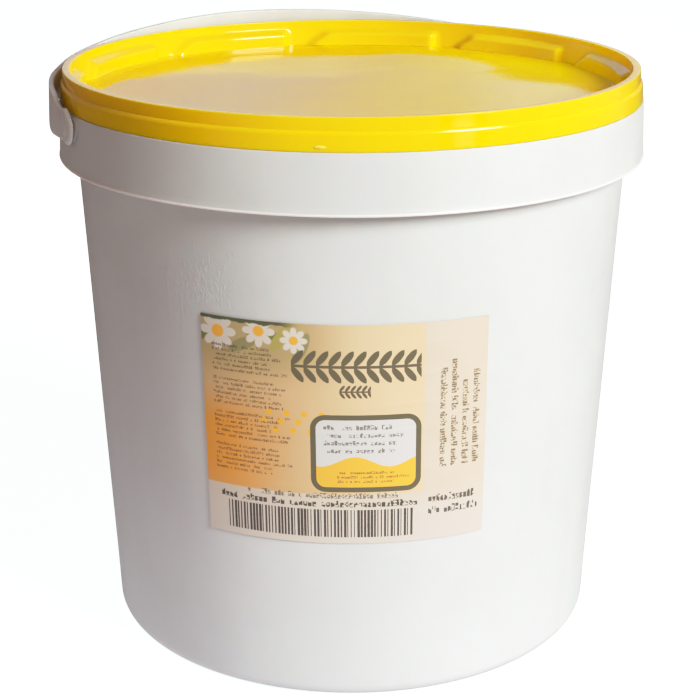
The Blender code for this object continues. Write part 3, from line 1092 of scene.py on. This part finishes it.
def low_card_material():
    """Glow of the small low card, fading out towards its edge."""
    net = Nodes("low_card_glow")
    x, y, height = net.split(net.object_place())
    aside = net.minus(net.math("ADD", x, y), -0.20)
    rise = net.minus(height, 0.01)
    away = net.math("SQRT", net.math("ADD", net.product(aside, aside, 0.5), net.product(rise, rise)))
    return net.glow(colour(1.0, 0.98, 0.95), net.ease(away, 0.20, 0.0, 0.0, 3.4))


def gloss_floor_material():
    """What the pail's gloss shows of the floor: bright in front, dim in the shade behind the left."""
    net = Nodes("gloss_floor_glow")
    x, y, _ = net.split(net.object_place())
    back_left = net.scaled(x, -0.6, net.product(y, 0.8))
    shade = net.mix(net.ease(back_left, -0.20, 0.20), colour(0.34, 0.30, 0.27), colour(0.12, 0.095, 0.085))
    return net.glow(shade, 1.0)


def add_card(name, corners, material):
    """A flat stage card."""
    card = add_mesh(name, corners, [(0, 1, 2, 3)])
    card.data.materials.append(material)
    return card


def hide_from(thing, *rays):
    """Keeps a thing out of these kinds of rays."""
    for ray in rays:
        setattr(thing, f"visible_{ray}", False)


def make_stage():
    """The floor, and a pale backdrop that only the camera sees."""
    far = 15.0
    corners = [(-far, -far, 0), (far, -far, 0), (far, far, 0), (-far, far, 0)]
    floor = add_card("floor", corners, floor_material())
    floor.location.z = -0.0002
    hide_from(floor, "diffuse", "shadow", "glossy")
    build = bmesh.new()
    bmesh.ops.create_uvsphere(build, u_segments=48, v_segments=24, radius=14.0)
    mesh = bpy.data.meshes.new("backdrop")
    build.to_mesh(mesh)
    build.free()
    backdrop = add_object("backdrop", mesh)
    mesh.materials.append(Nodes("pale_backdrop").glow(colour(0.94, 1.0, 1.0), 1.62))
    hide_from(backdrop, "diffuse", "glossy", "transmission", "shadow", "volume_scatter")
    wall = add_card(
        "back_card",
        [(-0.78, 3.0, 0.05), (0.78, 3.0, 0.05), (0.78, 3.0, 2.2), (-0.78, 3.0, 2.2)],
        back_card_material(),
    )
    mirrored = add_card(
        "floor_seen_in_gloss", [(-4, -4, 0), (4, -4, 0), (4, 4, 0), (-4, 4, 0)], gloss_floor_material()
    )
    mirrored.location.z = -0.0006
    low = add_card(
        "low_card",
        [(1.00, -1.60, 0.0), (1.40, -1.20, 0.0), (1.40, -1.20, 0.30), (1.00, -1.60, 0.30)],
        low_card_material(),
    )
    for card in (wall, mirrored, low):
        hide_from(card, "camera", "diffuse", "shadow")


def make_world():
    """Dim, warm light from all around."""
    world = bpy.data.worlds.new("studio")
    bpy.context.scene.world = world
    world.use_nodes = True
    background = world.node_tree.nodes["Background"]
    background.inputs["Color"].default_value = colour(0.318, 0.242, 0.222)
    background.inputs["Strength"].default_value = 1.0


def aimed(place, target):
    """Turn of a light that shines from a place at a target."""
    return (target - place).to_track_quat("-Z", "Y").to_euler()


def add_light(name, kind, place, turn, power, shade):
    """A light that the camera doesn't see."""
    light = bpy.data.lights.new(name, kind)
    light.energy = power
    light.color = shade
    lamp = add_object(name, light)
    lamp.location = place
    lamp.rotation_euler = turn
    lamp.visible_camera = False
    return lamp


def make_lights():
    """A soft key from the right front, what the floor returns near the pail, and a recess fill."""
    middle = Vector((0.0, 0.0, 0.16))
    turn = math.radians(KEY_AZIMUTH_DEG)
    rise = math.radians(KEY_ELEVATION_DEG)
    towards = Vector((math.cos(rise) * math.sin(turn), -math.cos(rise) * math.cos(turn), math.sin(rise)))
    place = middle + KEY_DISTANCE * towards
    up = (math.pi, 0.0, 0.0)
    key = add_light("key", "AREA", place, aimed(place, middle), 82.0, (0.965, 1.0, 0.97))
    bounce = add_light("floor_return", "AREA", (-0.02, -0.05, 0.001), up, 0.86, (0.86, 0.89, 1.0))
    front = add_light("floor_return_front", "AREA", (0.05, -0.75, 0.001), up, 1.0, (1.0, 0.84, 0.76))
    for lamp, size in ((key, 0.95), (bounce, 0.6), (front, 0.9)):
        lamp.data.shape = "DISK"
        lamp.data.size = size
    target = Vector((0.122, 0.062, 0.293))
    place = target + Vector((-0.50, -0.42, 0.72))
    fill = add_light("recess_fill", "SPOT", place, aimed(place, target), 15.0, (0.72, 1.0, 0.6))
    fill.data.spot_size = math.radians(10.0)
    fill.data.spot_blend = 1.0
    fill.data.shadow_soft_size = 0.05
    for lamp in (bounce, front, fill):
        lamp.visible_glossy = False


def make_camera():
    """The photograph's viewpoint."""
    camera = bpy.data.cameras.new("camera")
    camera.lens = CAMERA_LENS
    camera.sensor_width = 36.0
    viewer = add_object("camera", camera)
    viewer.location = CAMERA_PLACE
    viewer.rotation_euler = (math.radians(CAMERA_TILT_DEG), 0.0, 0.0)
    bpy.context.scene.camera = viewer


def set_film():
    """Display colours: straight up to a soft shoulder, so that white keeps its shading."""
    view = bpy.context.scene.view_settings
    view.view_transform = "Standard"
    view.look = "None"
    view.exposure = 0.0
    view.gamma = 1.0
    view.use_curve_mapping = True
    curve = view.curve_mapping
    white = 1.55
    curve.white_level = (white, white, white)
    line = curve.curves[3]
    line.points[-1].location = (1.0, 1.0)
    for place, level in ((0.30, 0.30), (0.55, 0.55), (0.70, 0.68), (0.90, 0.79), (1.15, 0.91), (1.30, 0.955)):
        line.points.new(place / white, level)
    curve.update()


pail_plastic = pail_material()
make_camera()
make_pail(pail_plastic)
make_bosses(pail_plastic)
lid_plastic = lid_material()
make_lid(lid_plastic)
make_nub(nub_material())
make_bail(bail_material())
make_label(label_material())
make_drops(drip_material())
make_stage()
make_world()
make_lights()
set_film()
